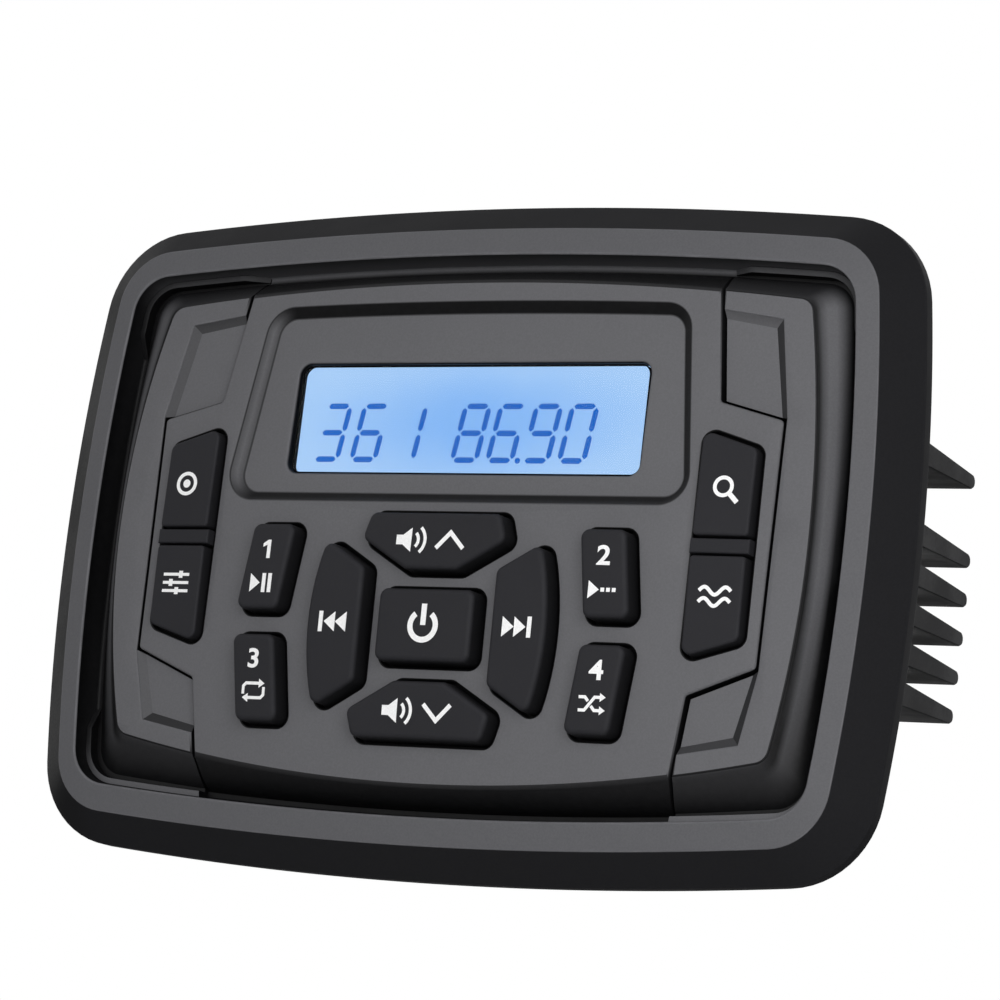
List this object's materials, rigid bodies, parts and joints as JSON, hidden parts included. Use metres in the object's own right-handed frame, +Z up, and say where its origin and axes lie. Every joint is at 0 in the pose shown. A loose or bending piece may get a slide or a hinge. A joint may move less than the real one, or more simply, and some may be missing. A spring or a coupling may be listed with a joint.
{
  "type": "marine stereo",
  "caption": "Panel-mounted marine stereo with a rounded bezel, a backlit display, sprung rubber keys, clip-on side trims and a finned heat sink behind.",
  "frame": {"origin": "middle of the four mounting holes, on the plane where the bezel meets the dashboard", "axes": "+X to the viewer's right, +Y backwards into the dashboard, +Z up; the front faces -Y"},
  "size_m": [0.1594, 0.0629, 0.1138],
  "materials": {
    "black_plastic": "fine-textured black moulding",
    "graphite_paint": "graphite satin paint",
    "clear_lens": "clear polished window",
    "display_glass": "light blue display cell",
    "light_guide": "white light guide",
    "key_rubber": "matt charcoal silicone",
    "circuit_board": "green solder mask",
    "component_plastic": "black moulding compound",
    "tinned_steel": "bright tinned sheet",
    "capacitor_sleeve": "dark blue sleeve",
    "chassis_paint": "black textured powder coat",
    "black_aluminium": "black anodised extrusion",
    "seal_rubber": "soft black rubber",
    "steel": "bright stainless steel"
  },
  "bodies": {
    "housing": {"bezel": "black_plastic", "front_panel": "graphite_paint", "left_trim": "graphite_paint", "right_trim": "graphite_paint", "display_lens": "clear_lens", "display_glass": "display_glass", "display_backlight": "light_guide", "key_mat": "key_rubber", "contact_domes": "steel", "front_board": "circuit_board", "stacking_connector": "component_plastic", "main_board": "circuit_board", "amplifier_chip": "component_plastic", "tuner_module": "tinned_steel", "filter_capacitors": "capacitor_sleeve", "rear_chassis": "chassis_paint", "chassis_seal": "seal_rubber", "heat_sink": "black_aluminium", "loom_gland": "seal_rubber", "aerial_gland": "seal_rubber", "flange_gasket": "seal_rubber", "panel_screws": "steel", "chassis_screws": "steel", "main_board_screws": "steel", "heat_sink_screws": "steel"},
    "key_power_body": {"key_power": "key_rubber"},
    "key_volume_up_body": {"key_volume_up": "key_rubber"},
    "key_volume_down_body": {"key_volume_down": "key_rubber"},
    "key_previous_body": {"key_previous": "key_rubber"},
    "key_next_body": {"key_next": "key_rubber"},
    "key_preset_1_body": {"key_preset_1": "key_rubber"},
    "key_preset_2_body": {"key_preset_2": "key_rubber"},
    "key_preset_3_body": {"key_preset_3": "key_rubber"},
    "key_preset_4_body": {"key_preset_4": "key_rubber"},
    "key_left_upper_body": {"key_left_upper": "key_rubber"},
    "key_left_lower_body": {"key_left_lower": "key_rubber"},
    "key_right_upper_body": {"key_right_upper": "key_rubber"},
    "key_right_lower_body": {"key_right_lower": "key_rubber"}
  },
  "joints": [
    {"name": "key_power_press", "type": "slide", "parent": "housing", "child": "key_power_body", "axis": [0, 1, 0], "range_m": [0, 0.001], "stiffness_N_per_m": 600},
    {"name": "key_volume_up_press", "type": "slide", "parent": "housing", "child": "key_volume_up_body", "axis": [0, 1, 0], "range_m": [0, 0.001], "stiffness_N_per_m": 600},
    {"name": "key_volume_down_press", "type": "slide", "parent": "housing", "child": "key_volume_down_body", "axis": [0, 1, 0], "range_m": [0, 0.001], "stiffness_N_per_m": 600},
    {"name": "key_previous_press", "type": "slide", "parent": "housing", "child": "key_previous_body", "axis": [0, 1, 0], "range_m": [0, 0.001], "stiffness_N_per_m": 600},
    {"name": "key_next_press", "type": "slide", "parent": "housing", "child": "key_next_body", "axis": [0, 1, 0], "range_m": [0, 0.001], "stiffness_N_per_m": 600},
    {"name": "key_preset_1_press", "type": "slide", "parent": "housing", "child": "key_preset_1_body", "axis": [0, 1, 0], "range_m": [0, 0.001], "stiffness_N_per_m": 600},
    {"name": "key_preset_2_press", "type": "slide", "parent": "housing", "child": "key_preset_2_body", "axis": [0, 1, 0], "range_m": [0, 0.001], "stiffness_N_per_m": 600},
    {"name": "key_preset_3_press", "type": "slide", "parent": "housing", "child": "key_preset_3_body", "axis": [0, 1, 0], "range_m": [0, 0.001], "stiffness_N_per_m": 600},
    {"name": "key_preset_4_press", "type": "slide", "parent": "housing", "child": "key_preset_4_body", "axis": [0, 1, 0], "range_m": [0, 0.001], "stiffness_N_per_m": 600},
    {"name": "key_left_upper_press", "type": "slide", "parent": "housing", "child": "key_left_upper_body", "axis": [0, 1, 0], "range_m": [0, 0.001], "stiffness_N_per_m": 600},
    {"name": "key_left_lower_press", "type": "slide", "parent": "housing", "child": "key_left_lower_body", "axis": [0, 1, 0], "range_m": [0, 0.001], "stiffness_N_per_m": 600},
    {"name": "key_right_upper_press", "type": "slide", "parent": "housing", "child": "key_right_upper_body", "axis": [0, 1, 0], "range_m": [0, 0.001], "stiffness_N_per_m": 600},
    {"name": "key_right_lower_press", "type": "slide", "parent": "housing", "child": "key_right_lower_body", "axis": [0, 1, 0], "range_m": [0, 0.001], "stiffness_N_per_m": 600}
  ]
}
